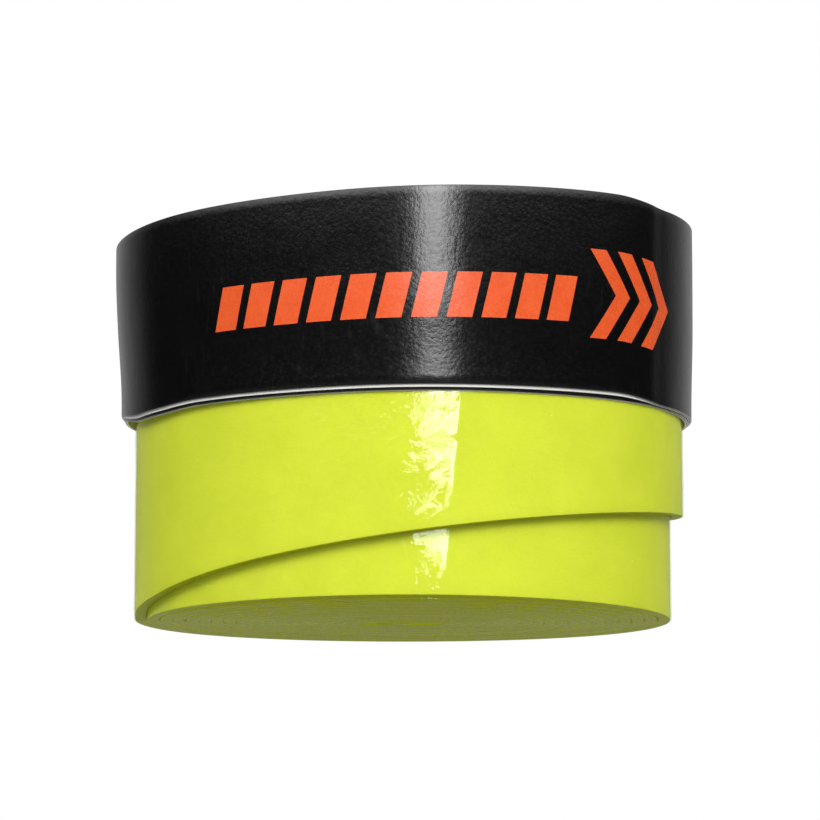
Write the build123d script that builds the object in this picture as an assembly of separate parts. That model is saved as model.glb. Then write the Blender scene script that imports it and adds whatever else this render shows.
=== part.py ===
"""Roll of racket grip tape held closed by a wrapped band of finishing tape.

Millimetres, +Z up. The roll stands on the edges of its turns at z = 0, its winding axis is the
Z axis, and +X is its right-hand side seen from the front (-Y). The tape is wound anticlockwise
seen from above, so its outer end passes the left side, the front and the right side and lies at
the back.

Each wound strip is a chain of tangent arcs, half a turn each. The chain follows the inner face of
the grip tape, and every layer is a lane at its own distance outwards from that chain.
"""

import os
from math import acos, degrees, radians
from typing import NamedTuple

from build123d import *

# Grip tape: a soft strip with a clear release film over its tacky outward face
TAPE_WIDTH = 25.0
TAPE_THICKNESS = 0.72
FILM_THICKNESS = 0.05
FILM_INSET = 0.10  # the film stops this far short of each edge of the tape
FILM_CLEARANCE = 0.03
WINDING_GAP = 0.07
EYE_RADIUS = 2.10
HALF_TURNS = 35  # whole half turns between the eye and the start of the tapered tail

# The inner end of the tape is folded back across the eye in an S
FOLD_RADIUS = 0.95
COUNTER_FOLD_RADIUS = 0.78
COUNTER_FOLD_ANGLE = 100.0

# Tapered tail: it leaves the left side, and its lower edge climbs until the tail is cut off
TAIL_ANGLE = 305.0
TAPER_FIRST_SLOPE = 0.160
TAPER_LAST_SLOPE = 0.076
TAPER_BEND_LENGTH = 57.0  # the slope falls evenly from the first to the last over this length
TAPER_STEPS = 24
TAPER_RUN_OUT_ANGLE = 4.0  # the slanting cut runs on past everything that it trims

# Starter patch in a shallow pocket on the inner face of the tail
ADHESIVE_THICKNESS = 0.05
STARTER_PAPER_THICKNESS = 0.06
STARTER_CLEARANCE = 0.01
STARTER_ANGLE = 95.0
STARTER_INSET = 1.0
PAPER_TAB_ANGLE = 8.0  # the paper runs on past the end of the tail, as a tab to lift it by

# Finishing tape: a vinyl strip on a paper liner, wound clockwise over the upper half of the roll
VINYL_WIDTH = 12.3
VINYL_THICKNESS = 0.13
LINER_THICKNESS = 0.07
LINER_OVERHANG = 0.15  # the liner shows below the vinyl by this much
BOND_GAP = 0.01
LAP_GAP = 0.02
BAND_GAP = 0.08
BAND_PROUD = 0.60  # the band stands above the tape by this much
BAND_START_ANGLE = 12.0
BAND_OVERLAP_ANGLE = 226.5
LINER_CUT_BACK_ANGLE = 34.0  # the vinyl's outer end is bare, so that it sticks to the lap below
STEP_LEAD_IN_RADIUS = 75.0
STEP_LEAD_OUT_RADIUS = 4.0

FILM_NEAR = TAPE_THICKNESS + FILM_CLEARANCE
FILM_FAR = FILM_NEAR + FILM_THICKNESS
PITCH = FILM_FAR + WINDING_GAP
LAP_THICKNESS = LINER_THICKNESS + BOND_GAP + VINYL_THICKNESS


class Arc(NamedTuple):
    """One arc of a strip's path. outward is -1 where the strip bends away from the roll's axis."""

    centre: Vector
    radius: float
    start: float
    sweep: float
    outward: int = 1


def edge_at(arc, offset):
    """The arc moved outwards by offset."""
    return CenterArc(arc.centre, arc.radius + arc.outward * offset, arc.start, arc.sweep)


def lane(path, near, far):
    """The flat shape that a layer fills between two distances outwards from a path."""
    near_edges = [edge_at(arc, near) for arc in path]
    far_edges = [edge_at(arc, far) for arc in path]
    ends = [
        Line(near_edges[0] @ 0, far_edges[0] @ 0),
        Line(near_edges[-1] @ 1, far_edges[-1] @ 1),
    ]
    return make_face(near_edges + far_edges + ends)


def strip(path, near, far, bottom, top):
    """A layer of a strip, between two distances from a path and two heights."""
    return Pos(0, 0, bottom) * extrude(lane(path, near, far), top - bottom)


def part_of(arc, first, last):
    """The stretch of an arc between two angles, counted from its start."""
    return arc._replace(start=arc.start + first, sweep=last - first)


# ---------------------------------------------------------------- winding of the grip tape


def half_turn(number):
    """A half turn of the spiral. Even ones run behind the axis, odd ones in front of it."""
    reach = EYE_RADIUS + number * PITCH / 2
    behind = number % 2 == 0
    centre = Vector(-PITCH / 4 if behind else PITCH / 4, 0)
    return Arc(centre, reach + PITCH / 4, 0 if behind else 180, 180)


def eye_fold():
    """The two small arcs of the S that the tape's inner end makes across the eye."""
    fold = Arc(Vector(EYE_RADIUS - FOLD_RADIUS, 0), FOLD_RADIUS, 180, 180)
    counter_radius = COUNTER_FOLD_RADIUS + TAPE_THICKNESS
    counter_centre = Vector(EYE_RADIUS - 2 * FOLD_RADIUS - counter_radius, 0)
    angle = COUNTER_FOLD_ANGLE
    return [Arc(counter_centre, counter_radius, angle, -angle, -1), fold]


winding_path = eye_fold() + [half_turn(number) for number in range(HALF_TURNS)]
tail_front = half_turn(HALF_TURNS)
tail_back = half_turn(HALF_TURNS + 1)
tail_back_angle = TAIL_ANGLE - tail_front.sweep
tail_path = [tail_front, part_of(tail_back, 0, tail_back_angle)]


def taper_height(angle):
    """Height of the tail's lower edge, at an angle counted from the start of the tail."""
    run = radians(angle) * tail_front.radius
    bend = min(run, TAPER_BEND_LENGTH)
    slope_loss = (TAPER_FIRST_SLOPE - TAPER_LAST_SLOPE) * bend / TAPER_BEND_LENGTH
    height = (TAPER_FIRST_SLOPE - slope_loss / 2) * bend
    return height + TAPER_LAST_SLOPE * (run - bend)


def taper_waste(inset):
    """What the taper's slanting cut takes away, as a ramp round the roll under the tail's edge."""
    last_angle = TAIL_ANGLE + PAPER_TAB_ANGLE + TAPER_RUN_OUT_ANGLE
    inner = tail_front.radius / 2
    outer = tail_front.radius * 1.5
    sections = []
    for step in range(TAPER_STEPS + 1):
        angle = last_angle * step / TAPER_STEPS
        height = TAPE_WIDTH + taper_height(angle) + inset
        outwards = Vector(1, 0).rotate(Axis.Z, tail_front.start + angle)
        backwards = Vector(0, -1).rotate(Axis.Z, tail_front.start + angle)
        radial_plane = Plane((0, 0, 0), x_dir=outwards, z_dir=backwards)
        side = Pos((inner + outer) / 2, height / 2 - TAPE_WIDTH) * Rectangle(outer - inner, height)
        sections.append(radial_plane * side)
    return loft(sections, ruled=True)


def tapered(path, near, far, inset=0.0):
    """A layer of the tail, cut off along the taper at its lower edge."""
    layer = strip(path, near, far, inset, TAPE_WIDTH - inset)
    return layer - taper_waste(inset)


# ---------------------------------------------------------------- starter patch

pocket_depth = ADHESIVE_THICKNESS + STARTER_PAPER_THICKNESS + 2 * STARTER_CLEARANCE
adhesive_near = pocket_depth - STARTER_CLEARANCE - ADHESIVE_THICKNESS
starter_from = tail_back_angle - STARTER_ANGLE
starter_path = [part_of(tail_back, starter_from, tail_back_angle)]
tab_path = [part_of(tail_back, starter_from, tail_back_angle + PAPER_TAB_ANGLE)]


def starter_pocket():
    """The stretch of the tail's inner face that is pressed thinner over the starter patch."""
    return strip(starter_path, 0, pocket_depth, 0, TAPE_WIDTH)


def starter_layer(path, near, thickness):
    """A layer of the starter patch, set in from the tape's edges and from the taper."""
    return tapered(path, near, near + thickness, STARTER_INSET)


# ---------------------------------------------------------------- band of finishing tape

band_centre = Vector(PITCH / 8, 0.38 * PITCH)
outermost = [half_turn(HALF_TURNS - 1)] + tail_path
furthest = max(
    (edge_at(arc, FILM_FAR) @ (step / 60) - band_centre).length
    for arc in outermost
    for step in range(61)
)
band_radius = furthest + BAND_GAP
band_top = TAPE_WIDTH + BAND_PROUD
band_bottom = band_top - VINYL_WIDTH
step_height = LAP_THICKNESS + LAP_GAP


def band_path(overlap_angle):
    """One lap, a step over the strip's own inner end, and an outer lap of overlap_angle."""
    lead_in, lead_out = STEP_LEAD_IN_RADIUS, STEP_LEAD_OUT_RADIUS
    to_lead_in = lead_in - band_radius
    to_lead_out = band_radius + step_height - lead_out
    between = lead_in - lead_out
    at_axis = cosine_rule(to_lead_in, to_lead_out, between)
    at_lead_in = cosine_rule(to_lead_in, between, to_lead_out)
    at_step = BAND_START_ANGLE - 360 + 180 - at_axis  # where the step leaves the first lap
    lead_in_centre = band_centre - Vector(to_lead_in, 0).rotate(Axis.Z, at_step)
    lead_out_centre = band_centre + Vector(to_lead_out, 0).rotate(Axis.Z, BAND_START_ANGLE)
    return [
        Arc(band_centre, band_radius, BAND_START_ANGLE, at_step - BAND_START_ANGLE),
        Arc(lead_in_centre, lead_in, at_step, -at_lead_in),
        Arc(lead_out_centre, lead_out, at_step - at_lead_in, at_lead_in + at_axis - 180),
        Arc(band_centre, band_radius + step_height, BAND_START_ANGLE, -overlap_angle),
    ]


def cosine_rule(side, other_side, opposite):
    """The angle between two sides of a triangle, in degrees, from its three sides."""
    cosine = (side**2 + other_side**2 - opposite**2) / (2 * side * other_side)
    return degrees(acos(cosine))


# ---------------------------------------------------------------- the pieces


def grip_tape():
    """The whole strip: the wound turns, and the tapered tail with its pocket."""
    winding = strip(winding_path, 0, TAPE_THICKNESS, 0, TAPE_WIDTH)
    return winding + (tapered(tail_path, 0, TAPE_THICKNESS) - starter_pocket())


def release_film():
    """The clear film on the outward face of every turn and of the tail."""
    winding = strip(winding_path, FILM_NEAR, FILM_FAR, FILM_INSET, TAPE_WIDTH - FILM_INSET)
    return winding + tapered(tail_path, FILM_NEAR, FILM_FAR, FILM_INSET)


def starter_adhesive():
    """The sticky patch that starts the tape on a handle."""
    return starter_layer(starter_path, adhesive_near, ADHESIVE_THICKNESS)


def starter_paper():
    """The paper that covers the patch until the tape is used."""
    return starter_layer(tab_path, 0, STARTER_PAPER_THICKNESS)


def finishing_tape():
    """The printed vinyl strip, on the outside of its liner."""
    near = LINER_THICKNESS + BOND_GAP
    return strip(band_path(BAND_OVERLAP_ANGLE), near, LAP_THICKNESS, band_bottom, band_top)


def finishing_tape_liner():
    """The paper liner on the back of the vinyl, cut back at the strip's outer end."""
    path = band_path(BAND_OVERLAP_ANGLE - LINER_CUT_BACK_ANGLE)
    return strip(path, 0, LINER_THICKNESS, band_bottom - LINER_OVERHANG, band_top)


pieces = {
    "grip_tape": grip_tape(),
    "release_film": release_film(),
    "starter_adhesive": starter_adhesive(),
    "starter_paper": starter_paper(),
    "finishing_tape": finishing_tape(),
    "finishing_tape_liner": finishing_tape_liner(),
}

os.makedirs("parts", exist_ok=True)
for name, piece in pieces.items():
    export_step(piece, f"parts/{name}.step")

tape_length = sum(abs(radians(arc.sweep)) * arc.radius for arc in winding_path + tail_path)
print(f"grip tape {tape_length:.0f} mm long, band radius {band_radius:.2f} mm")
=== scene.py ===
"""Roll of racket grip tape held closed by a wrapped band of printed finishing tape.

The shapes are made in millimetres and set down in metres, in the part's own frame: +Z up along the
winding axis, -Y the front, z = 0 the surface that the roll stands on. Each strip starts as the outline
of its own section and is spun along a chain of tangent arcs, which is the way that it is wound.
"""

import logging
from dataclasses import dataclass, field
from enum import Enum
from functools import cached_property
from math import acos, atan2, cos, degrees, exp, hypot, pi, radians, sin
from typing import Callable, Sequence

import bmesh
import bpy
from mathutils import Matrix, Vector, noise


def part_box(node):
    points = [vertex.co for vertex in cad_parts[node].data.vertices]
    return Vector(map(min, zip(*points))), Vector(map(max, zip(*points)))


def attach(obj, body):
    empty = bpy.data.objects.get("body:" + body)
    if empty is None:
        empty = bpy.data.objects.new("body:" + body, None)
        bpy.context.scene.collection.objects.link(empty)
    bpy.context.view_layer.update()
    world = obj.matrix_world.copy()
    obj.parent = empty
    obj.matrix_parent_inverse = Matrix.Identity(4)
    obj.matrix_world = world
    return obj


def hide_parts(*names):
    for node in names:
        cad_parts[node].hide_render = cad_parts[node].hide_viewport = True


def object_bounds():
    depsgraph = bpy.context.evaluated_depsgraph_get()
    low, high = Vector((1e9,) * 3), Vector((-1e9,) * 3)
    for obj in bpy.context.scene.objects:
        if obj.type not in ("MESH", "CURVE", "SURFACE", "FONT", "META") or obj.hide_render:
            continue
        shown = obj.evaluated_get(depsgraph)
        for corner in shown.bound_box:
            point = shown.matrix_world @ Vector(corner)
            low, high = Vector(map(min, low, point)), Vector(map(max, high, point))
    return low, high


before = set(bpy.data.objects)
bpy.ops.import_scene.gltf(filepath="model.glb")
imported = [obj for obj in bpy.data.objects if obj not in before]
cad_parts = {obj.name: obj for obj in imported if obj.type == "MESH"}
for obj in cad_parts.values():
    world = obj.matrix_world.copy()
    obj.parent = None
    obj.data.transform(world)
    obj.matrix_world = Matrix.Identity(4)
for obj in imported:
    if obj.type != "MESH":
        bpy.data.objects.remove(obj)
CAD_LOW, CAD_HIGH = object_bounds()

log = logging.getLogger("grip_tape_roll")

MM = 0.001
ROLL_BODY = "roll"
BAND_BODY = "band"
ROUNDING_SEGMENTS = 3
SHARP_ANGLE = radians(50)
STATION_LAYERS = ("run", "wound", "depth", "height")
JOIN_DISTANCE = 0.002

Colour = tuple[float, float, float]
Range = tuple[float, float]
BMesh = bmesh.types.BMesh
Piece = bpy.types.Object
NodeTree = bpy.types.NodeTree
Socket = bpy.types.NodeSocket
Inputs = bpy.types.NodeInputs
Outputs = bpy.types.NodeOutputs


def from_screen(red: int, green: int, blue: int) -> Colour:
    """A colour's linear values.

    Args:
        red: Red from 0 to 255, as a screen shows it.
        green: Green from 0 to 255.
        blue: Blue from 0 to 255.

    Returns:
        The three linear values, from 0 to 1.
    """
    shares = (red / 255, green / 255, blue / 255)
    return tuple(
        share / 12.92 if share <= 0.04045 else ((share + 0.055) / 1.055) ** 2.4 for share in shares
    )


def smooth_step(low: float, high: float, value: float) -> float:
    """How far a value has come from low to high, from 0 to 1, with soft ends."""
    share = min(1.0, max(0.0, (value - low) / (high - low)))
    return share * share * (3 - 2 * share)


def turned(length: float, angle: float) -> Vector:
    """A level vector of a length, at an angle in degrees from +X."""
    return Vector((length * cos(radians(angle)), length * sin(radians(angle)), 0))


# ---------------------------------------------------------------- paths and strips


@dataclass(frozen=True)
class Arc:
    """One arc of a strip's path, seen from above. outward is -1 where it bends away from the axis."""

    centre: Vector
    radius: float
    start: float
    sweep: float
    outward: int = 1
    steps: int = 24

    @property
    def length(self) -> float:
        """The arc's own length."""
        return abs(radians(self.sweep)) * self.radius

    def point(self, share: float, offset: float) -> Vector:
        """The point at a share of the arc, moved outwards by an offset."""
        return self.centre + turned(self.radius + self.outward * offset, self.start + share * self.sweep)

    def share_at(self, place: Vector) -> float:
        """The share of the arc at which a point beside it lies, above 0 and at most 1."""
        away = place - self.centre
        turn = (degrees(atan2(away.y, away.x)) - self.start) * (1 if self.sweep > 0 else -1) % 360
        return turn / abs(self.sweep)

    def part(self, first: float, last: float, steps: int) -> "Arc":
        """The stretch of the arc between two angles counted from its start."""
        return Arc(self.centre, self.radius, self.start + first, last - first, self.outward, steps)


@dataclass
class Station:
    """Where a point of a strip lies: the arguments of a shaping function.

    Attributes:
        run: Distance along the strip from where its winding starts.
        wound: Angle that the strip has been wound through by there, in degrees.
        depth: Distance outwards from the strip's path.
        height: Height in the strip's flat section.
    """

    run: float
    wound: float
    depth: float
    height: float


Shaping = Callable[[Vector, Station], Vector]


def length_of(path: Sequence[Arc]) -> float:
    """Length of a path."""
    return sum(arc.length for arc in path)


def moved_out(place: Vector, distance: float) -> Vector:
    """A point moved away from the axis at its own height."""
    scale = 1 + distance / max(hypot(place.x, place.y), 1e-6)
    return Vector((place.x * scale, place.y * scale, place.z))


@dataclass
class WoundStrip:
    """A strip of one section, wound along a chain of arcs.

    Attributes:
        near: Distance of the inner face outwards from the path.
        thickness: Thickness of the strip.
        bottom: Height of its lower edge.
        top: Height of its upper edge.
        rounding: Radius of the section's corners, 0 for square ones.
        rows: Rows of faces over the strip's height on the coarse stretch.
        fine_cuts: Extra cuts of each row on the fine stretch.
    """

    near: float
    thickness: float
    bottom: float
    top: float
    rounding: float
    rows: int
    fine_cuts: int = 0
    bm: BMesh = field(default_factory=bmesh.new)

    def outline(self, bm: BMesh, rows: int) -> None:
        """Makes the section's closed outline in an empty mesh, upright in the XZ plane.

        Args:
            bm: The mesh.
            rows: Number of pieces that each long side is cut into.
        """
        width = self.top - self.bottom
        bmesh.ops.create_grid(bm, x_segments=1, y_segments=1, size=0.5)
        bmesh.ops.scale(bm, vec=(self.thickness, width, 1), verts=bm.verts)
        middle = (self.near + self.thickness / 2, self.bottom + width / 2, 0)
        bmesh.ops.translate(bm, vec=middle, verts=bm.verts)
        bmesh.ops.rotate(bm, cent=(0, 0, 0), matrix=Matrix.Rotation(pi / 2, 3, "X"), verts=bm.verts)
        if self.rounding:
            bmesh.ops.bevel(
                bm, geom=bm.verts[:], offset=self.rounding, offset_type="OFFSET", affect="VERTICES",
                segments=ROUNDING_SEGMENTS, profile=0.5, material=-1,
            )
        bmesh.ops.delete(bm, geom=bm.faces[:], context="FACES_ONLY")
        upright = [edge for edge in bm.edges if self.rise(edge) > width / 2]
        bmesh.ops.subdivide_edges(bm, edges=upright, cuts=rows - 1)

    @staticmethod
    def rise(edge: bmesh.types.BMEdge) -> float:
        """How far an edge climbs from one end to the other."""
        return abs(edge.verts[0].co.z - edge.verts[1].co.z)

    def stretch(self, arc: Arc, rows: int, last_cuts: int, run: float, wound: float) -> bpy.types.Mesh:
        """Spins the section along one arc.

        Args:
            arc: The arc.
            rows: Rows of faces over the strip's height.
            last_cuts: Extra cuts of each row at the arc's far end, where finer rows follow.
            run: Distance along the strip where the arc starts.
            wound: Angle that the strip has been wound through where the arc starts.

        Returns:
            The stretch, open at both ends, with the place of each point on the strip written on it.
        """
        bm = bmesh.new()
        runs, winds, depths, heights = (bm.verts.layers.float.new(name) for name in STATION_LAYERS)
        self.outline(bm, rows)
        for vert in bm.verts:
            vert[runs], vert[winds], vert[depths], vert[heights] = run, wound, vert.co.x, vert.co.z
        older = set(bm.verts)
        outwards = arc.start + (0 if arc.outward > 0 else 180)
        heading = Matrix.Rotation(radians(outwards), 3, "Z")
        bmesh.ops.rotate(bm, cent=(0, 0, 0), matrix=heading, verts=bm.verts)
        bmesh.ops.translate(bm, vec=arc.point(0, 0), verts=bm.verts)
        spun = bmesh.ops.spin(
            bm, geom=[*bm.verts, *bm.edges], cent=arc.centre, axis=(0, 0, 1), dvec=(0, 0, 0),
            angle=radians(arc.sweep), steps=arc.steps, use_merge=False, use_duplicate=False,
        )
        if last_cuts:
            row = (self.top - self.bottom) / rows
            last = [item for item in spun["geom_last"] if isinstance(item, bmesh.types.BMEdge)]
            upright = [edge for edge in last if self.rise(edge) > row / 2]
            bmesh.ops.subdivide_edges(bm, edges=upright, cuts=last_cuts)
        for vert in bm.verts:
            if vert not in older:
                share = arc.share_at(vert.co)
                vert[runs] = run + share * arc.length
                vert[winds] = wound + share * abs(arc.sweep)
        mesh = bpy.data.meshes.new("stretch")
        bm.to_mesh(mesh)
        bm.free()
        return mesh

    def wind(self, path: Sequence[Arc], wound_from: float = 0.0, fine_from: int | None = None) -> None:
        """Spins the section along the path, joins the stretches and closes both ends.

        Args:
            path: The arcs, each one tangent to the next.
            wound_from: Angle that the strip has been wound through where the path starts.
            fine_from: Number of the arc from which the rows are cut finer, if any.
        """
        run, wound = 0.0, wound_from
        for number, arc in enumerate(path):
            fine = fine_from is not None and number >= fine_from
            rows = self.rows * (self.fine_cuts + 1) if fine else self.rows
            last_cuts = self.fine_cuts if number + 1 == fine_from else 0
            mesh = self.stretch(arc, rows, last_cuts, run, wound)
            self.bm.from_mesh(mesh)
            bpy.data.meshes.remove(mesh)
            run += arc.length
            wound += abs(arc.sweep)
        bmesh.ops.remove_doubles(self.bm, verts=self.bm.verts, dist=JOIN_DISTANCE)
        bmesh.ops.holes_fill(self.bm, edges=[edge for edge in self.bm.edges if edge.is_boundary], sides=0)

    def shape(self, shaping: Shaping) -> None:
        """Moves every point by a shaping function, then lays the strip's own flat map on it."""
        layers = self.bm.verts.layers.float
        runs, winds, depths, heights = (layers[name] for name in STATION_LAYERS)
        flat = self.bm.loops.layers.uv.new("strip")
        for vert in self.bm.verts:
            vert.co = shaping(vert.co, Station(vert[runs], vert[winds], vert[depths], vert[heights]))
        for face in self.bm.faces:
            for loop in face.loops:
                loop[flat].uv = (loop.vert[runs], loop.vert[heights])


def set_down(bm: BMesh, name: str, material: bpy.types.Material) -> Piece:
    """Turns a mesh in millimetres into a finished object in metres, shaded smooth between its edges.

    Args:
        bm: The mesh, which is freed.
        name: The object's name.
        material: The object's finish.

    Returns:
        The object, at the origin, with its place in its mesh.
    """
    bmesh.ops.recalc_face_normals(bm, faces=bm.faces)
    for face in bm.faces:
        face.smooth = True
    for edge in bm.edges:
        edge.smooth = len(edge.link_faces) == 2 and edge.calc_face_angle(0) < SHARP_ANGLE
    bmesh.ops.scale(bm, vec=(MM, MM, MM), verts=bm.verts)
    mesh = bpy.data.meshes.new(name)
    bm.to_mesh(mesh)
    bm.free()
    mesh.materials.append(material)
    piece = bpy.data.objects.new(name, mesh)
    bpy.context.scene.collection.objects.link(piece)
    triangles = sum(len(polygon.vertices) - 2 for polygon in mesh.polygons)
    log.info("%s: %d triangles", name, triangles)
    return piece


# ---------------------------------------------------------------- finishes


class NodeKit:
    """Small helpers for building a material's nodes."""

    def __init__(self, tree: NodeTree) -> None:
        """Keeps the node tree that the nodes go into."""
        self.tree = tree

    def feed(self, target: Socket, value: object) -> None:
        """Sets an input to a value, or joins it to the socket that the value comes from."""
        if isinstance(value, Socket):
            self.tree.links.new(value, target)
        else:
            target.default_value = value

    def add(self, kind: str, **settings: object) -> bpy.types.Node:
        """Adds a node.

        Args:
            kind: The node's type.
            settings: The node's own settings, and what each input takes as in_NAME or in_NUMBER.

        Returns:
            The node.
        """
        node = self.tree.nodes.new(kind)
        for key, value in settings.items():
            if key.startswith("in_"):
                slot = key[3:]
                self.feed(node.inputs[int(slot) if slot.isdigit() else slot.replace("_", " ")], value)
            else:
                setattr(node, key, value)
        return node

    def maths(self, operation: str, first: object, second: object) -> Socket:
        """The result of a sum on two values, each a number or a socket."""
        return self.add("ShaderNodeMath", operation=operation, in_0=first, in_1=second).outputs[0]

    def spread(self, value: Socket, low: float, high: float, to: Range = (0, 1)) -> Socket:
        """A value from low to high, spread over the range to, and held inside it."""
        node = self.add("ShaderNodeMapRange", in_0=value, in_1=low, in_2=high, in_3=to[0], in_4=to[1])
        return node.outputs[0]

    def noise(self, vector: Socket, scale: object, detail: float, rough: float = 0.5) -> Socket:
        """A soft noise, from 0 to 1."""
        node = self.add(
            "ShaderNodeTexNoise", in_Vector=vector, in_Scale=scale, in_Detail=detail, in_Roughness=rough
        )
        return node.outputs["Fac"]

    def blend(self, share: Socket, first: object, second: object) -> Socket:
        """A colour blended from first to second, each a colour or a socket."""
        ends = [end if isinstance(end, Socket) else (*end, 1) for end in (first, second)]
        return self.add("ShaderNodeMix", data_type="RGBA", in_0=share, in_6=ends[0], in_7=ends[1]).outputs[2]


class Effect(Enum):
    """The surface effects that several finishes share, each one a node group."""

    MOTTLE = "mottle"
    PEBBLE = "pebble"
    FIBRES = "fibres"
    RUBBED = "rubbed"
    FACETS = "facets"


class EffectShelf:
    """Builds each shared effect's node group once and hands it out."""

    def __init__(self) -> None:
        """Starts with an empty shelf."""
        self.made: dict[Effect, NodeTree] = {}

    def get(self, effect: Effect) -> NodeTree:
        """The node group of an effect."""
        if effect not in self.made:
            self.made[effect] = getattr(self, effect.value)()
        return self.made[effect]

    @staticmethod
    def new_group(name: str, outputs: dict[str, str], **inputs: tuple[str, object]) -> tuple:
        """Starts a group, which always takes a place and a scale.

        Args:
            name: The group's name.
            outputs: Kind of each output, by name.
            inputs: Kind and default value of each further input, by name.

        Returns:
            The group, a kit for its nodes, what it is given and what it gives out.
        """
        group = bpy.data.node_groups.new(name, "ShaderNodeTree")
        group.interface.new_socket("Vector", in_out="INPUT", socket_type="NodeSocketVector")
        for label, (kind, value) in {"Scale": ("Float", 1.0), **inputs}.items():
            label = label.replace("_", " ")
            socket = group.interface.new_socket(label, in_out="INPUT", socket_type=f"NodeSocket{kind}")
            socket.default_value = value
        for label, kind in outputs.items():
            group.interface.new_socket(label, in_out="OUTPUT", socket_type=f"NodeSocket{kind}")
        kit = NodeKit(group)
        return group, kit, kit.add("NodeGroupInput").outputs, kit.add("NodeGroupOutput").inputs

    def mottle(self) -> NodeTree:
        """Cloudy drift between two colours, at a wide and a close scale."""
        group, kit, given, out = self.new_group(
            "mottle", {"Color": "Color", "Mask": "Float"},
            Close_Share=("Float", 0.4), Light=("Color", (1, 1, 1, 1)), Dark=("Color", (0, 0, 0, 1)),
        )
        wide = kit.noise(given["Vector"], given["Scale"], 3)
        close = kit.noise(given["Vector"], kit.maths("MULTIPLY", given["Scale"], 9.0), 4, 0.7)
        mixed = kit.add("ShaderNodeMix", data_type="FLOAT", in_0=given["Close Share"], in_2=wide, in_3=close)
        mask = kit.spread(mixed.outputs[0], 0.32, 0.68)
        kit.feed(out["Color"], kit.blend(mask, given["Dark"], given["Light"]))
        kit.feed(out["Mask"], mask)
        return group

    def pebble(self) -> NodeTree:
        """A fine pressed pebble, with a softer roll under it."""
        group, kit, given, out = self.new_group(
            "pebble", {"Height": "Float", "Mask": "Float"}, Roll=("Float", 0.5)
        )
        place, scale = given["Vector"], given["Scale"]
        cells = kit.add(
            "ShaderNodeTexVoronoi", feature="SMOOTH_F1", in_Vector=place, in_Scale=scale, in_Smoothness=0.6
        )
        crumbs = kit.noise(place, kit.maths("MULTIPLY", scale, 1.7), 3, 0.6)
        roll = kit.noise(place, kit.maths("MULTIPLY", scale, 0.16), 2)
        fine = kit.maths("ADD", kit.maths("MULTIPLY", cells.outputs["Distance"], -0.6), crumbs)
        kit.feed(out["Height"], kit.maths("ADD", fine, kit.maths("MULTIPLY", roll, given["Roll"])))
        kit.feed(out["Mask"], kit.spread(fine, 0.0, 0.5))
        return group

    def fibres(self) -> NodeTree:
        """Short matted fibres, longer one way than the other."""
        group, kit, given, out = self.new_group("fibres", {"Height": "Float", "Mask": "Float"})
        strands = []
        for turn in (0.5, 2.1, -0.9):
            mapping = kit.add(
                "ShaderNodeMapping", in_Vector=given["Vector"], in_Rotation=(turn, turn * 0.7, turn),
                in_Scale=(1, 0.22, 0.6),
            )
            strands.append(kit.noise(mapping.outputs["Vector"], given["Scale"], 2, 0.6))
        height = kit.maths("MAXIMUM", kit.maths("MAXIMUM", strands[0], strands[1]), strands[2])
        kit.feed(out["Height"], height)
        kit.feed(out["Mask"], kit.spread(height, 0.45, 0.75))
        return group

    def facets(self) -> NodeTree:
        """Small flat facets that each tilt their own way, as in a crumpled film."""
        group, kit, given, out = self.new_group("facets", {"Height": "Float"})
        drift = kit.add("ShaderNodeTexNoise", in_Vector=given["Vector"], in_Scale=1.6, in_Detail=2.0)
        bent = kit.add(
            "ShaderNodeVectorMath", operation="MULTIPLY_ADD", in_0=drift.outputs["Color"],
            in_1=(0.7, 0.7, 0.0), in_2=given["Vector"],
        ).outputs[0]
        cells = kit.add(
            "ShaderNodeTexVoronoi", voronoi_dimensions="2D", in_Vector=bent, in_Scale=given["Scale"]
        ).outputs
        away = kit.add("ShaderNodeVectorMath", operation="SUBTRACT", in_0=bent, in_1=cells["Position"])
        tilt = kit.add(
            "ShaderNodeVectorMath", operation="SUBTRACT", in_0=cells["Color"], in_1=(0.5, 0.5, 0.5)
        )
        height = kit.add(
            "ShaderNodeVectorMath", operation="DOT_PRODUCT", in_0=away.outputs[0], in_1=tilt.outputs[0]
        )
        kit.feed(out["Height"], height.outputs["Value"])
        return group

    def rubbed(self) -> NodeTree:
        """Faint scuffs and dust from handling, as a mask."""
        group, kit, given, out = self.new_group("rubbed", {"Mask": "Float"}, Amount=("Float", 0.5))
        patch = kit.noise(given["Vector"], given["Scale"], 2)
        mapping = kit.add(
            "ShaderNodeMapping", in_Vector=given["Vector"], in_Rotation=(0.2, 0.1, 0.6), in_Scale=(1, 9, 1)
        )
        fine_scale = kit.maths("MULTIPLY", given["Scale"], 3.0)
        streaks = kit.noise(mapping.outputs["Vector"], fine_scale, 5, 0.7)
        rubs = kit.maths("MULTIPLY", kit.spread(patch, 0.45, 0.75), kit.spread(streaks, 0.55, 0.8))
        kit.feed(out["Mask"], kit.maths("MULTIPLY", rubs, given["Amount"]))
        return group


EFFECTS = EffectShelf()


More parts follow.
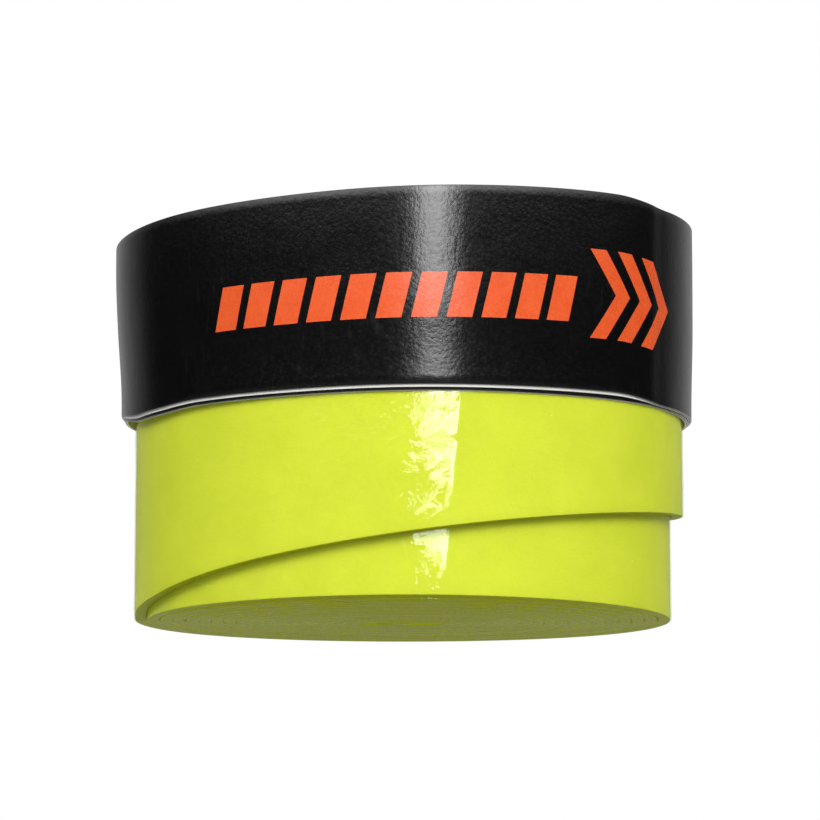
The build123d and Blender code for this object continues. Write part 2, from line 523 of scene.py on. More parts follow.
@dataclass(frozen=True)
class Finish:
    """What every finish has: a name, two colours that it drifts between, and its range of roughness."""

    name: str
    light: Colour
    dark: Colour
    roughness: Range

    def build(self) -> bpy.types.Material:
        """Makes the material."""
        material = bpy.data.materials.new(self.name)
        material.use_nodes = True
        kit = NodeKit(material.node_tree)
        place = kit.add(
            "ShaderNodeMapping", in_Vector=kit.add("ShaderNodeTexCoord").outputs["Object"],
            in_Scale=(1 / MM, 1 / MM, 1 / MM),
        )
        self.cover(kit, material.node_tree.nodes["Principled BSDF"].inputs, place.outputs["Vector"])
        return material

    def cover(self, kit: NodeKit, shader: Inputs, place: Socket) -> None:
        """Dresses the shader.

        Args:
            kit: The material's nodes.
            shader: The shader's inputs.
            place: The place on the object, in millimetres.
        """
        raise NotImplementedError

    @staticmethod
    def effect(kit: NodeKit, effect: Effect, vector: Socket, **values: object) -> Outputs:
        """Places a shared effect in a material, with its own values, and gives what it gives out."""
        inputs = {f"in_{label}": value for label, value in values.items()}
        node = kit.add("ShaderNodeGroup", node_tree=EFFECTS.get(effect), in_Vector=vector, **inputs)
        return node.outputs

    def clouds(self, kit: NodeKit, place: Socket, scale: float, close: float) -> Outputs:
        """The drift between the finish's two colours."""
        colours = {"Light": (*self.light, 1), "Dark": (*self.dark, 1)}
        return self.effect(kit, Effect.MOTTLE, place, Scale=scale, Close_Share=close, **colours)

    def roughen(self, kit: NodeKit, shader: Inputs, mask: Socket, full: float = 1) -> None:
        """Spreads the roughness over a mask that goes from 0 to full."""
        kit.feed(shader["Roughness"], kit.spread(mask, 0, full, self.roughness))

    @staticmethod
    def bump(kit: NodeKit, shader: Inputs, *layers: tuple[Socket, float, float]) -> None:
        """Stacks bumps on the shader's normal.

        Args:
            kit: The material's nodes.
            shader: The shader's inputs.
            layers: Height, strength and depth in metres of each bump, the widest first.
        """
        below = {}
        for height, strength, depth in layers:
            values = {"in_Height": height, "in_Strength": strength, "in_Distance": depth}
            node = kit.add("ShaderNodeBump", **values, **below)
            below = {"in_Normal": node.outputs["Normal"]}
        kit.feed(shader["Normal"], below["in_Normal"])


@dataclass(frozen=True)
class TackyCoat(Finish):
    """Soft tacky polyurethane on a thin non-woven cloth, whose fibres show on the cut edges; those edges are
    coloured darker, partly the cloth's duller edge and partly painted shade of the roll's underside.
    """

    shaded_edge_light: Colour
    shaded_edge_dark: Colour

    @staticmethod
    def cut_edge(kit: NodeKit) -> Socket:
        """A mask that is 1 where the surface faces up or down, on a strip's cut edges."""
        normal = kit.add("ShaderNodeNewGeometry").outputs["Normal"]
        facing = kit.add("ShaderNodeSeparateXYZ", in_0=normal)
        return kit.spread(kit.maths("ABSOLUTE", facing.outputs["Z"], 0.0), 0.35, 0.9)

    def cover(self, kit: NodeKit, shader: Inputs, place: Socket) -> None:
        """Dresses the shader."""
        face = self.clouds(kit, place, 0.30, 0.45)
        fibres = self.effect(kit, Effect.FIBRES, place, Scale=4.5)
        # Cut edges that face up or down get a darker colour: the cloth's fibres, and partly painted shade of
        # the underside.
        shaded_edge_colour = kit.blend(fibres["Mask"], self.shaded_edge_dark, self.shaded_edge_light)
        edge = self.cut_edge(kit)
        kit.feed(shader["Base Color"], kit.blend(edge, face["Color"], shaded_edge_colour))
        grain = self.effect(kit, Effect.PEBBLE, place, Scale=5.0, Roll=0.8)
        self.roughen(kit, shader, grain["Mask"])
        self.bump(
            kit, shader,
            (kit.noise(place, 0.55, 2), 0.5, 0.00010),
            (grain["Height"], 0.45, 0.00004),
            (kit.maths("MULTIPLY", fibres["Height"], edge), 0.5, 0.00012),
        )
        shader["Specular IOR Level"].default_value = 0.10
        shader["Subsurface Weight"].default_value = 0.10
        shader["Subsurface Radius"].default_value = (0.0006, 0.0006, 0.0002)
        shader["Subsurface Scale"].default_value = 1.0


@dataclass(frozen=True)
class ClearFilm(Finish):
    """Thin clear release film that clings to the tape, with fine creases.

    Attributes:
        alpha: How much of its own colour and gloss it shows.
        index: Index of refraction.
        facet_scale: Facets per millimetre.
        facet_depth: Depth of the facets in metres.
        crease: Where the long crease meets z = 0, and how far it goes right for each millimetre up.
        calm: Share of the facets' depth that is left beyond the crease.
    """

    alpha: float
    index: float
    facet_scale: float
    facet_depth: float
    crease: Range
    calm: float

    def beside_crease(self, kit: NodeKit, place: Socket) -> Socket:
        """A mask that is 1 on the crumpled side of the long crease and calm on its other side."""
        along = kit.add("ShaderNodeSeparateXYZ", in_0=place).outputs
        right = kit.maths("SUBTRACT", along["X"], kit.maths("MULTIPLY", along["Z"], self.crease[1]))
        return kit.spread(right, self.crease[0] - 0.3, self.crease[0], (1, self.calm))

    def cover(self, kit: NodeKit, shader: Inputs, place: Socket) -> None:
        """Dresses the shader. The tint, the facets and the creases follow the strip's own flat map."""
        flat = kit.add("ShaderNodeUVMap", uv_map="strip").outputs["UV"]
        kit.feed(shader["Base Color"], self.clouds(kit, flat, 0.5, 0.5)["Color"])
        scuffs = self.effect(kit, Effect.RUBBED, place, Scale=0.35, Amount=0.8)
        self.roughen(kit, shader, scuffs["Mask"], 0.6)
        creases = kit.add(
            "ShaderNodeTexNoise", noise_type="RIDGED_MULTIFRACTAL",
            in_Vector=flat, in_Scale=0.55, in_Detail=3.0,
        )
        facets = self.effect(kit, Effect.FACETS, flat, Scale=self.facet_scale)
        self.bump(
            kit, shader,
            (kit.noise(flat, 1.1, 3), 0.20, 0.00006),
            (kit.maths("MULTIPLY", facets["Height"], self.beside_crease(kit, place)), 1.0, self.facet_depth),
            (creases.outputs["Fac"], 0.10, 0.00003),
        )
        shader["Alpha"].default_value = self.alpha
        shader["IOR"].default_value = self.index


@dataclass(frozen=True)
class PebbledSkin(Finish):
    """A skin with the fine pebble of the vinyl, marked in places with a third colour."""

    mark: Colour
    drift_scale: float

    def marks(self, kit: NodeKit, place: Socket) -> Socket:
        """A mask of where the skin is marked."""
        raise NotImplementedError

    def cover(self, kit: NodeKit, shader: Inputs, place: Socket) -> None:
        """Dresses the shader."""
        body = self.clouds(kit, place, self.drift_scale, 0.5)
        kit.feed(shader["Base Color"], kit.blend(self.marks(kit, place), body["Color"], self.mark))
        grain = self.effect(kit, Effect.PEBBLE, place, Scale=3.4, Roll=1.0)
        self.roughen(kit, shader, grain["Mask"])
        self.bump(kit, shader, (kit.noise(place, 0.28, 2), 0.16, 0.00015), (grain["Height"], 0.24, 0.00003))


class SatinVinyl(PebbledSkin):
    """Satin black vinyl with a fine pebble, dusty in places."""

    def marks(self, kit: NodeKit, place: Socket) -> Socket:
        """A mask of the dust."""
        return self.effect(kit, Effect.RUBBED, place, Scale=0.22, Amount=0.5)["Mask"]


class PrintedInk(PebbledSkin):
    """Opaque ink that takes the pebble of the vinyl below, with small pinholes of wear."""

    def marks(self, kit: NodeKit, place: Socket) -> Socket:
        """A mask of the pinholes."""
        return kit.spread(kit.noise(place, 5.0, 3, 0.7), 0.70, 0.76, (0, 0.7))


class CoatedPaper(Finish):
    """Smooth coated release paper with short fibres in it."""

    def cover(self, kit: NodeKit, shader: Inputs, place: Socket) -> None:
        """Dresses the shader."""
        fibres = self.effect(kit, Effect.FIBRES, place, Scale=3.0)
        body = self.clouds(kit, place, 0.5, 0.4)
        speck = kit.spread(fibres["Mask"], 0, 1, (0.0, 0.35))
        kit.feed(shader["Base Color"], kit.blend(speck, body["Color"], self.dark))
        self.roughen(kit, shader, body["Mask"])
        self.bump(kit, shader, (kit.noise(place, 0.6, 2), 0.4, 0.00005), (fibres["Height"], 0.4, 0.00002))


TAPE_FINISH = TackyCoat(
    "tacky_coat",
    light=(0.840, 0.915, 0.046),
    dark=(0.735, 0.815, 0.030),
    # Darker colour of the cut edges: partly the cloth's own edge, partly painted shade of the roll's
    # underside.
    shaded_edge_light=(0.46, 0.505, 0.005),
    shaded_edge_dark=(0.36, 0.395, 0.003),
    roughness=(0.48, 0.62),
)
FILM_FINISH = ClearFilm(
    "clear_film",
    light=(0.84, 0.92, 0.12),
    dark=(0.76, 0.86, 0.08),
    alpha=0.18,
    index=2.4,
    roughness=(0.05, 0.16),
    facet_scale=0.85,
    facet_depth=0.000075,
    crease=(2.19, 0.10),
    calm=0.12,
)
VINYL_FINISH = SatinVinyl(
    "satin_vinyl",
    light=(0.0030, 0.0030, 0.0032),
    dark=(0.0010, 0.0010, 0.0012),
    roughness=(0.16, 0.21),
    mark=(0.040, 0.038, 0.036),
    drift_scale=0.35,
)
INK_FINISH = PrintedInk(
    "printed_ink",
    light=from_screen(243, 100, 46),
    dark=from_screen(228, 84, 34),
    roughness=(0.24, 0.32),
    mark=from_screen(120, 48, 26),
    drift_scale=0.8,
)
PAPER_FINISH = CoatedPaper(
    "coated_paper",
    light=(0.86, 0.85, 0.82),
    dark=(0.70, 0.68, 0.63),
    roughness=(0.42, 0.58),
)
ADHESIVE_FINISH = CoatedPaper(
    "sticky_patch",
    light=(0.88, 0.84, 0.66),
    dark=(0.72, 0.66, 0.46),
    roughness=(0.25, 0.40),
)


def dress(strip: WoundStrip, name: str, body: str, node: str, finish: Finish) -> Piece:
    """Sets a strip down as the piece that stands for a CAD node.

    Args:
        strip: The strip.
        name: The piece's name.
        body: The body that it rides on.
        node: The CAD node.
        finish: The piece's finish.

    Returns:
        The piece.
    """
    piece = set_down(strip.bm, name, finish.build())
    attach(piece, body)
    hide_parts(node)
    return piece


# ---------------------------------------------------------------- the roll


@dataclass(frozen=True)
class RollForm:
    """How the tape is wound, and how handling and the band have pressed the roll."""

    width: float = (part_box("grip_tape")[1].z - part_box("grip_tape")[0].z) / MM
    tape: float = 0.72
    film: float = 0.05
    film_inset: float = 0.04
    film_clearance: float = 0.03
    gap: float = 0.07
    eye_radius: float = 2.10
    half_turns: int = 35
    fold_radius: float = 0.95
    counter_fold_radius: float = 0.78
    counter_fold_angle: float = 100.0
    tail_angle: float = 305.0
    first_slope: float = 0.160
    last_slope: float = 0.076
    slope_bend: float = 57.0
    inner_steps: int = 24
    outer_steps: int = 120
    fine_half_turns: int = 2
    band_edge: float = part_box("finishing_tape")[0].z / MM
    pinch: float = 0.20
    pinch_turns: float = 3.0
    front_lift: float = 0.87
    lift_turns: float = 3.0
    tail_rise: float = 0.30
    tail_sag: float = 0.36
    snug: float = 0.055
    left_flat: float = 0.18
    eye_press: float = 0.30
    eye_reach: float = 6.0
    unevenness: float = 0.07
    unevenness_length: float = 140.0
    unevenness_bias: float = 0.35
    unevenness_turns: float = 16.0
    squeeze_span: Range = (-0.9, 0.5)
    rise_span: Range = (20.0, 160.0)
    sag_starts: Range = (0.0, 30.0)
    sag_ends: Range = (170.0, 60.0)

    @property
    def film_near(self) -> float:
        """Distance of the film's inner face outwards from the tape's path."""
        return self.tape + self.film_clearance

    @property
    def pitch(self) -> float:
        """Distance from one turn to the next."""
        return self.film_near + self.film + self.gap

    @property
    def tail_radius(self) -> float:
        """Radius of the arc that the tail starts on."""
        return self.eye_radius + self.half_turns * self.pitch / 2 + self.pitch / 4

    @property
    def tail_from(self) -> float:
        """Angle wound through where the tapered tail starts, in degrees."""
        return 180.0 * self.half_turns

    @property
    def tail_end(self) -> float:
        """Angle wound through where the tape ends, in degrees."""
        return self.tail_from + self.tail_angle

    def half_turn(self, number: int) -> Arc:
        """A half turn of the spiral. Even ones run behind the axis, odd ones in front of it."""
        reach = self.eye_radius + number * self.pitch / 2
        behind = number % 2 == 0
        fine = number >= self.half_turns - self.fine_half_turns
        centre = Vector((-self.pitch / 4 if behind else self.pitch / 4, 0, 0))
        steps = self.outer_steps if fine else self.inner_steps
        return Arc(centre, reach + self.pitch / 4, 0 if behind else 180, 180, steps=steps)

    def eye_fold(self) -> list[Arc]:
        """The two small arcs of the S that the tape's inner end makes across the eye."""
        fold = Arc(Vector((self.eye_radius - self.fold_radius, 0, 0)), self.fold_radius, 180, 180, steps=16)
        radius = self.counter_fold_radius + self.tape
        centre = Vector((self.eye_radius - 2 * self.fold_radius - radius, 0, 0))
        angle = self.counter_fold_angle
        return [Arc(centre, radius, angle, -angle, -1, steps=12), fold]

    def tail(self) -> list[Arc]:
        """The two arcs of the tapered tail."""
        front = self.half_turn(self.half_turns)
        back_angle = self.tail_angle - front.sweep
        steps = round(self.outer_steps * back_angle / 180)
        return [front, self.half_turn(self.half_turns + 1).part(0, back_angle, steps)]

    def whole(self) -> list[Arc]:
        """The whole path, from the eye to the end of the tail."""
        spiral = [self.half_turn(number) for number in range(self.half_turns)]
        return [*self.eye_fold(), *spiral, *self.tail()]

    @property
    def wound_at_fold(self) -> float:
        """The winding angle at which the path starts, so that it is 0 where the first half turn does."""
        return -sum(abs(arc.sweep) for arc in self.eye_fold())

    def taper(self, wound: float) -> float:
        """Height of the tail's lower edge, by the angle wound through."""
        angle = max(0.0, wound - self.tail_from)
        run = radians(angle) * self.tail_radius
        bend = min(run, self.slope_bend)
        slope_loss = (self.first_slope - self.last_slope) * bend / self.slope_bend
        sag = self.tail_sag * smooth_step(*self.sag_starts, angle) * smooth_step(*self.sag_ends, angle)
        return (self.first_slope - slope_loss / 2) * bend + self.last_slope * (run - bend) - sag

    def height(self, station: Station) -> float:
        """Height of a point after the taper has raised the tail's lower edge."""
        edge = self.taper(station.wound)
        return edge + station.height * (self.width - edge) / self.width

    def settle(self, place: Vector, wound: float) -> Vector:
        """Moves a point of the evenly wound roll to where handling has pressed it.

        Args:
            place: The point.
            wound: Angle wound through at the point.

        Returns:
            The point, moved.
        """
        x, y, z = place
        reach = max(hypot(x, y), 1e-6)
        pressed = exp(-((reach / self.eye_reach) ** 2))
        turns_in = (self.tail_end - wound) / 360
        squeeze = self.pinch * exp(-turns_in / self.pinch_turns)
        squeeze *= smooth_step(*self.squeeze_span, z - self.band_edge)
        inwards = 1 - squeeze / reach
        front = 0.5 * (1 - y / reach)
        lift = self.front_lift * exp(-turns_in / self.lift_turns) * front**2
        lift += self.tail_rise * smooth_step(*self.rise_span, wound - self.tail_from)
        flattened = self.left_flat * exp(-turns_in / self.pinch_turns) * max(0.0, -x / reach) ** 2
        inwards -= flattened / reach
        wander = noise.noise(Vector((wound / self.unevenness_length, 3.7, 0.0)))
        drift = self.unevenness * (wander + self.unevenness_bias)
        return Vector((
            x * inwards * (1 + self.eye_press * pressed),
            y * inwards * (1 - self.eye_press * pressed),
            z + lift + max(0.0, drift) * exp(-((turns_in / self.unevenness_turns) ** 2)),
        ))


@dataclass
class GripTapeRoll:
    """The wound tape with its film and its starter patch."""

    form: RollForm = field(default_factory=RollForm)
    rounding: float = 0.09
    rows: int = 8
    fine_cuts: int = 3
    film_rows: int = 8
    film_fine_cuts: int = 5
    adhesive: float = 0.05
    paper: float = 0.06
    starter_clearance: float = 0.01
    starter_angle: float = 95.0
    starter_inset: float = 1.0
    tab_angle: float = 8.0
    starter_area_share: float = 0.66
    wrinkle: float = 0.055
    wrinkle_size: float = 2.1
    crease_height: float = 0.075
    crease_reach: float = 0.60
    crease_foot: float = 8.0
    crease_lean: float = 0.32
    crease_level: float = 3.0
    calm_share: float = 0.75
    calm_starts: Range = (0.0, 2.5)
    calm_ends: Range = (25.0, 12.0)
    clear_of_band: Range = (-0.3, -1.3)
    clear_of_taper: Range = (0.1, 0.8)
    clear_of_turn: Range = (0.5, 1.2)

    @property
    def pocket(self) -> float:
        """Depth of the hollow that the starter patch has pressed into the tape's inner face."""
        return self.adhesive + self.paper + 2 * self.starter_clearance

    def tape_shaping(self, place: Vector, station: Station) -> Vector:
        """Tapers the tail, hollows it over the starter patch and settles the roll."""
        form = self.form
        outwards = 0.0
        starter_from = form.tail_end - self.starter_angle
        if station.depth < form.tape / 2:
            hollow = self.pocket + form.snug
            outwards = hollow * smooth_step(starter_from - 2.5, starter_from, station.wound)
        moved = moved_out(place, outwards)
        moved.z = form.height(station)
        return form.settle(moved, station.wound)

    def exposed(self, wound: float, height: float) -> float:
        """How freely the film can lift at a place: 1 in the open, 0 under the band or the next turn."""
        form = self.form
        if wound < form.tail_from - 360:
            return 0.0
        below_band = smooth_step(*self.clear_of_band, height - form.band_edge)
        if wound >= form.tail_from:
            return below_band * smooth_step(*self.clear_of_taper, height - form.taper(wound))
        covered_from = form.taper(wound + 360)
        uncovered = wound + 360 > form.tail_end + self.tab_angle
        return below_band if uncovered else smooth_step(*self.clear_of_turn, covered_from - height)

    def film_lift(self, wound: float, run: float, height: float) -> float:
        """How far the film stands off the tape in bubbles and creases."""
        free = self.exposed(wound, height)
        if not free:
            return 0.0
        place = Vector((run / self.wrinkle_size, height / (self.wrinkle_size * 1.5), 1.3))
        bubbles = max(0.0, noise.noise(place) + 0.25 * noise.noise(place * 2.7) + 0.12)
        front = (wound - self.form.tail_from) % 360 - 90
        crease_at = self.crease_foot + self.crease_lean * (height - self.crease_level)
        distance = radians(front - crease_at) * self.form.tail_radius
        crease = self.crease_height * exp(-abs(distance) / self.crease_reach)
        smoothed = smooth_step(*self.calm_starts, distance) * smooth_step(*self.calm_ends, distance)
        calm = 1 - self.calm_share * smoothed
        return free * (self.wrinkle * bubbles * calm + crease)

    def film_shaping(self, place: Vector, station: Station) -> Vector:
        """Tapers the film, lifts it in bubbles where it lies free and settles the roll."""
        height = self.form.height(station)
        moved = moved_out(place, self.film_lift(station.wound, station.run, height))
        moved.z = height
        return self.form.settle(moved, station.wound)

    def starter_shaping(self, place: Vector, station: Station) -> Vector:
        """Trims the starter patch along the taper and settles the roll."""
        edge = self.form.taper(station.wound) + self.starter_inset
        top = self.form.width - self.starter_inset
        share = (station.height - self.starter_inset) / (top - self.starter_inset)
        return self.form.settle(Vector((place.x, place.y, edge + share * (top - edge))), station.wound)

    def wind(self, strip: WoundStrip, shaping: Shaping) -> list[Arc]:
        """Winds a strip along the whole path, shapes it and gives the path back."""
        path = self.form.whole()
        strip.wind(path, self.form.wound_at_fold, len(path) - 2 - self.form.fine_half_turns)
        strip.shape(shaping)
        return path

    def make_tape(self) -> Piece:
        """Winds the grip tape."""
        form = self.form
        thickness = form.tape + form.snug
        strip = WoundStrip(-form.snug, thickness, 0.0, form.width, self.rounding, self.rows, self.fine_cuts)
        path = self.wind(strip, self.tape_shaping)
        piece = dress(strip, "wound_grip_tape", ROLL_BODY, "grip_tape", TAPE_FINISH)
        return self.declare(piece, form.width, path)

    def make_film(self) -> Piece:
        """Winds the clear film over the tape's outward face."""
        form = self.form
        bottom, top = form.film_inset, form.width - form.film_inset
        strip = WoundStrip(form.film_near, form.film, bottom, top, 0.0, self.film_rows, self.film_fine_cuts)
        path = self.wind(strip, self.film_shaping)
        piece = dress(strip, "wound_release_film", ROLL_BODY, "release_film", FILM_FINISH)
        return self.declare(piece, top - bottom, path)

    def declare(self, piece: Piece, width: float, path: Sequence[Arc]) -> Piece:
        """Works out the area that the taper cuts off the strip, which nothing uses, and gives the piece back
        as it is.
        """
        form = self.form
        steps = 60
        angles = [form.tail_angle * (step + 0.5) / steps for step in range(steps)]
        lost = length_of(form.tail()) / steps * sum(form.taper(form.tail_from + angle) for angle in angles)
        return piece

    def make_starter(self) -> None:
        """Makes the adhesive patch and its paper, between the tail and the turn below."""
        form = self.form
        back_angle = form.tail_angle - 180
        back = form.half_turn(form.half_turns + 1)
        first = back_angle - self.starter_angle
        low, high = self.starter_inset, form.width - self.starter_inset
        wound_from = form.tail_end - self.starter_angle
        near = self.pocket - self.starter_clearance - self.adhesive
        patch = WoundStrip(near, self.adhesive, low, high, 0.0, 12)
        patch.wind([back.part(first, back_angle, 60)], wound_from)
        patch.shape(self.starter_shaping)
        dress(patch, "starter_patch", ROLL_BODY, "starter_adhesive", ADHESIVE_FINISH)
        paper = WoundStrip(0.0, self.paper, low, high, 0.0, 12)
        paper.wind([back.part(first, back_angle + self.tab_angle, 66)], wound_from)
        paper.shape(self.starter_shaping)
        name = "starter_release_paper"
        piece = dress(paper, name, ROLL_BODY, "starter_paper", PAPER_FINISH)

    def build(self) -> None:
        """Makes every piece of the roll."""
        self.make_tape()
        self.make_film()
        self.make_starter()


# ---------------------------------------------------------------- the band


@dataclass(frozen=True)
class BandForm:
    """How the finishing tape is wrapped, and how it has settled on the roll."""

    radius: float = 18.78
    centre: Vector = Vector((0.109, 0.331, 0))
    bottom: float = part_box("finishing_tape")[0].z / MM
    top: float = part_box("finishing_tape")[1].z / MM
    liner_bottom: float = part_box("finishing_tape_liner")[0].z / MM
    vinyl: float = 0.13
    liner: float = 0.07
    bond_gap: float = 0.01
    lap_gap: float = 0.02
    start: float = 12.0
    overlap: float = 226.5
    liner_cut_back: float = 34.0
    lead_in: float = 75.0
    lead_out: float = 4.0
    flare: float = 0.10
    right_flare: float = 0.05
    left_flare: float = 0.26
    tuck: float = 0.12
    start_droop: float = 0.20
    start_droop_length: float = 30.0
    inner_droop: float = 0.34
    climb_from: float = 62.0
    climb_to: float = 44.0
    top_rise: float = 0.27
    top_tilt: float = 0.043
    rim_rise: float = 0.18
    rim_tilt: float = 0.018
    left_dip: float = 0.12
    left_lift: float = 0.75
    crease_angle: float = -34.5
    crease: float = 0.10
    crease_width: float = 5.0
    crease_ends: Range = (50.0, 20.0)
    flare_span: Range = (0.10, 0.90)
    tuck_span: Range = (0.5, 0.0)
    dip_span: Range = (0.70, 0.86)
    lift_starts: Range = (66.0, 88.0)
    lift_ends: Range = (170.0, 120.0)

    @property
    def lap(self) -> float:
        """Thickness of one lap, liner and vinyl together."""
        return self.liner + self.bond_gap + self.vinyl

    @property
    def step(self) -> float:
        """How much further out the outer lap lies than the first one."""
        return self.lap + self.lap_gap

    @staticmethod
    def corner(side: float, other_side: float, opposite: float) -> float:
        """The angle between two sides of a triangle, in degrees, from its three sides."""
        return degrees(acos((side**2 + other_side**2 - opposite**2) / (2 * side * other_side)))

    @cached_property
    def whole(self) -> list[Arc]:
        """The path of the whole strip."""
        return self.path(self.overlap)

    def path(self, overlap: float) -> list[Arc]:
        """One lap, a step over the strip's own inner end, and an outer lap of an angle."""
        to_lead_in = self.lead_in - self.radius
        to_lead_out = self.radius + self.step - self.lead_out
        between = self.lead_in - self.lead_out
        at_axis = self.corner(to_lead_in, to_lead_out, between)
        at_lead_in = self.corner(to_lead_in, between, to_lead_out)
        at_step = self.start - 180 - at_axis
        lead_in_centre = self.centre - turned(to_lead_in, at_step)
        lead_out_centre = self.centre + turned(to_lead_out, self.start)
        return [
            Arc(self.centre, self.radius, self.start, at_step - self.start, steps=220),
            Arc(lead_in_centre, self.lead_in, at_step, -at_lead_in, steps=6),
            Arc(lead_out_centre, self.lead_out, at_step - at_lead_in, at_lead_in + at_axis - 180, steps=8),
            Arc(self.centre, self.radius + self.step, self.start, -overlap, steps=round(overlap / 1.5)),
        ]

    @cached_property
    def first_lap_end(self) -> float:
        """Run at which the outer lap starts."""
        return length_of(self.whole[:3])

    def point(self, run: float, offset: float) -> Vector:
        """A point at a run along the path, moved outwards by an offset."""
        for arc in self.whole:
            if run <= arc.length:
                return arc.point(run / arc.length, offset)
            run -= arc.length
        return arc.point(1 + run / arc.length, offset)

    def climbed(self, run: float) -> float:
        """How far the outer lap has climbed from the height of the inner one, from 0 to 1."""
        ahead = radians(1) * (self.radius + self.step)
        right = self.first_lap_end + (self.start + 90) * ahead
        return smooth_step(right - self.climb_from * ahead, right - self.climb_to * ahead, run)

    def settle(self, place: Vector, run: float) -> Vector:
        """Moves a point of the evenly wrapped band to where it has settled.

        Args:
            place: The point.
            run: Distance along the strip at the point.

        Returns:
            The point, moved.
        """
        share = (place.z - self.bottom) / (self.top - self.bottom)
        x, y = place.x, place.y
        reach = hypot(x, y)
        around = atan2(y, x)
        left = max(0.0, -x / reach)
        out = self.flare + self.left_flare * left**2 - self.right_flare * max(0.0, x / reach) ** 2
        out *= smooth_step(*self.flare_span, share)
        out -= self.tuck * smooth_step(*self.tuck_span, share)
        out += 0.030 * sin(3 * around + 0.8) + 0.015 * sin(5 * around + 2.0)
        off_crease = degrees(around) - self.crease_angle
        pressed = smooth_step(0, self.crease_width, off_crease) * smooth_step(*self.crease_ends, off_crease)
        out -= self.crease * pressed
        droop = self.start_droop * max(0.0, 1 - run / self.start_droop_length)
        droop += self.inner_droop * (1 - self.climbed(run))
        low = self.rim_rise + self.rim_tilt * x - self.left_dip * smooth_step(*self.dip_span, left)
        from_front = (-90 - degrees(around)) % 360
        lifted = smooth_step(*self.lift_starts, from_front) * smooth_step(*self.lift_ends, from_front)
        low += self.left_lift * lifted
        high = self.top_rise + self.top_tilt * x
        ripple = 0.03 * sin(2 * around + 0.4) + 0.015 * sin(7 * around)
        rise = low + (high - low) * share + ripple
        scale = 1 + out / reach
        return Vector((x * scale, y * scale, place.z + rise - droop))


class Lean(Enum):
    """Which way a printed bar leans at its top."""

    RIGHT = 1
    LEFT = -1


@dataclass(frozen=True)
class PrintedBar:
    """A leaning bar of the print, laid out flat: x runs to the right along the band, z is height."""

    left: float
    width: float
    low: float
    high: float
    lean: Lean
    slope: float

    def add(self, bm: BMesh, across: float, up: float) -> None:
        """Adds the bar to a mesh as a fine grid.

        Args:
            bm: The mesh.
            across: Widest step of the grid along the band.
            up: Widest step of the grid in height.
        """
        columns = max(2, round(self.width / across))
        rows = max(2, round((self.high - self.low) / up))
        made = bmesh.ops.create_grid(bm, x_segments=columns, y_segments=rows, size=0.5)["verts"]
        bmesh.ops.scale(bm, vec=(self.width, self.high - self.low, 1), verts=made)
        middle = (self.left + self.width / 2, (self.low + self.high) / 2, 0)
        bmesh.ops.translate(bm, vec=middle, verts=made)
        for vert in made:
            vert.co.x += self.lean.value * self.slope * (vert.co.y - self.low)


@dataclass
class BandPrint:
    """The ink on the band: a row of equal leaning bars, then three chevrons. It holds no lettering."""

    form: BandForm
    first: float = -12.8
    bar_count: int = 11
    bar_width: float = 1.6
    gap: float = 0.58
    low: float = 17.4
    high: float = 20.2
    lean: float = 0.24
    chevrons: int = 3
    chevron_first: float = 12.3
    chevron_stroke: float = 1.35
    chevron_pitch: float = 2.4
    chevron_low: float = 16.5
    chevron_high: float = 22.0
    chevron_lean: float = 0.80
    ink: float = 0.012
    sunk: float = 0.006
    cell: float = 0.35

    def bars(self) -> list[PrintedBar]:
        """The row of equal leaning bars."""
        lefts = [self.first + number * (self.bar_width + self.gap) for number in range(self.bar_count)]
        sizes = self.bar_width, self.low, self.high
        return [PrintedBar(left, *sizes, Lean.RIGHT, self.lean) for left in lefts]

    def chevron_arms(self) -> list[PrintedBar]:
        """The lower and the upper arm of each chevron."""
        middle = (self.chevron_low + self.chevron_high) / 2
        rise = (middle - self.chevron_low) * self.chevron_lean
        arms = []
        for number in range(self.chevrons):
            left = self.chevron_first + number * self.chevron_pitch
            sizes = self.chevron_stroke, self.chevron_low, middle
            arms.append(PrintedBar(left, *sizes, Lean.RIGHT, self.chevron_lean))
            upper = self.chevron_stroke, middle, self.chevron_high
            arms.append(PrintedBar(left + rise, *upper, Lean.LEFT, self.chevron_lean))
        return arms

    def build(self) -> Piece:
        """Makes the print as one thin layer on the outer face of the vinyl."""
        bm = bmesh.new()
        for bar in [*self.bars(), *self.chevron_arms()]:
            bar.add(bm, self.cell, self.cell)
        bmesh.ops.remove_doubles(bm, verts=bm.verts, dist=0.001)
        base = bm.faces[:]
        raised = bmesh.ops.extrude_face_region(bm, geom=base)["geom"]
        top = [item for item in raised if isinstance(item, bmesh.types.BMVert)]
        bmesh.ops.translate(bm, vec=(0, 0, 1), verts=top)
        form = self.form
        front = self.front_run()
        for vert in bm.verts:
            offset = form.lap + (self.ink if vert.co.z > 0.5 else -self.sunk)
            run = front - vert.co.x
            place = form.point(run, offset)
            place.z = vert.co.y
            vert.co = form.settle(place, run)
        piece = set_down(bm, "band_print", INK_FINISH.build())
        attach(piece, BAND_BODY)
        return piece

    def front_run(self) -> float:
        """Run of the outer lap at which it passes the middle of the front."""
        to_front = self.form.start + 90
        return self.form.first_lap_end + radians(to_front) * (self.form.radius + self.form.step)


